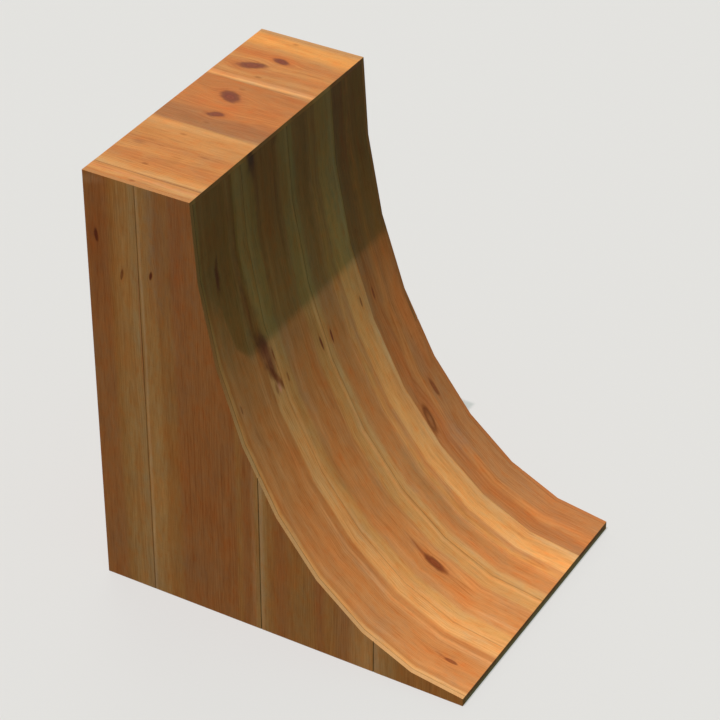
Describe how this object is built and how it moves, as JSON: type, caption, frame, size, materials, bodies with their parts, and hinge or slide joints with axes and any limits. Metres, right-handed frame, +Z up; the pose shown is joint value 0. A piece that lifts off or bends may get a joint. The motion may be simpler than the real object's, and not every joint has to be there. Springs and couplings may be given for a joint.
{
  "type": "skate ramp",
  "caption": "Wooden quarter pipe with a folded concave riding face, a narrow deck on top and boarded sides and back over a timber and plywood frame.",
  "frame": {"origin": "on the floor, under the middle of the ramp's footprint", "axes": "+Z up, -Y from the back of the deck towards the lip where riders come in, +X to the right as seen from the lip"},
  "size_m": [1.219, 1.582, 1.84],
  "materials": {
    "side_pine": "oiled pine boards, reddish brown with paler edges, satin",
    "back_pine": "oiled pine boards, satin",
    "deck_pine": "oiled pine boards, orange with brown knots, satin",
    "running_pine": "oiled pine boards worn smooth down the curve, satin",
    "plywood": "unfinished birch plywood, matt",
    "framing_timber": "sawn softwood, unfinished, matt",
    "zinc_steel": "bright zinc plate"
  },
  "bodies": {
    "root": {"left_side_board_1": "side_pine", "left_side_board_2": "side_pine", "left_side_board_3": "side_pine", "left_side_board_4": "side_pine", "right_side_board_1": "side_pine", "right_side_board_2": "side_pine", "right_side_board_3": "side_pine", "right_side_board_4": "side_pine", "back_board_1": "back_pine", "back_board_2": "back_pine", "back_board_3": "back_pine", "back_board_4": "back_pine", "deck_board_1": "deck_pine", "deck_board_2": "deck_pine", "deck_board_3": "deck_pine", "deck_board_4": "deck_pine", "running_board_1": "running_pine", "running_board_2": "running_pine", "running_board_3": "running_pine", "running_board_4": "running_pine", "left_rib": "plywood", "right_rib": "plywood", "left_post_back": "framing_timber", "left_post_front": "framing_timber", "right_post_back": "framing_timber", "right_post_front": "framing_timber", "transition_joist_01": "framing_timber", "transition_joist_02": "framing_timber", "transition_joist_03": "framing_timber", "transition_joist_04": "framing_timber", "transition_joist_05": "framing_timber", "transition_joist_06": "framing_timber", "transition_joist_07": "framing_timber", "transition_joist_08": "framing_timber", "transition_joist_09": "framing_timber", "transition_joist_10": "framing_timber", "transition_joist_11": "framing_timber", "transition_joist_12": "framing_timber", "transition_joist_13": "framing_timber", "toe_sill": "framing_timber", "deck_header": "framing_timber", "deck_joist_back": "framing_timber", "deck_joist_middle": "framing_timber", "back_rail_bottom": "framing_timber", "back_rail_middle": "framing_timber", "floor_tie_1": "framing_timber", "floor_tie_2": "framing_timber", "left_coach_screw_1": "zinc_steel", "left_coach_screw_2": "zinc_steel", "left_coach_screw_3": "zinc_steel", "left_coach_screw_4": "zinc_steel", "left_coach_screw_5": "zinc_steel", "left_coach_screw_6": "zinc_steel", "right_coach_screw_1": "zinc_steel", "right_coach_screw_2": "zinc_steel", "right_coach_screw_3": "zinc_steel", "right_coach_screw_4": "zinc_steel", "right_coach_screw_5": "zinc_steel", "right_coach_screw_6": "zinc_steel"}
  },
  "joints": []
}
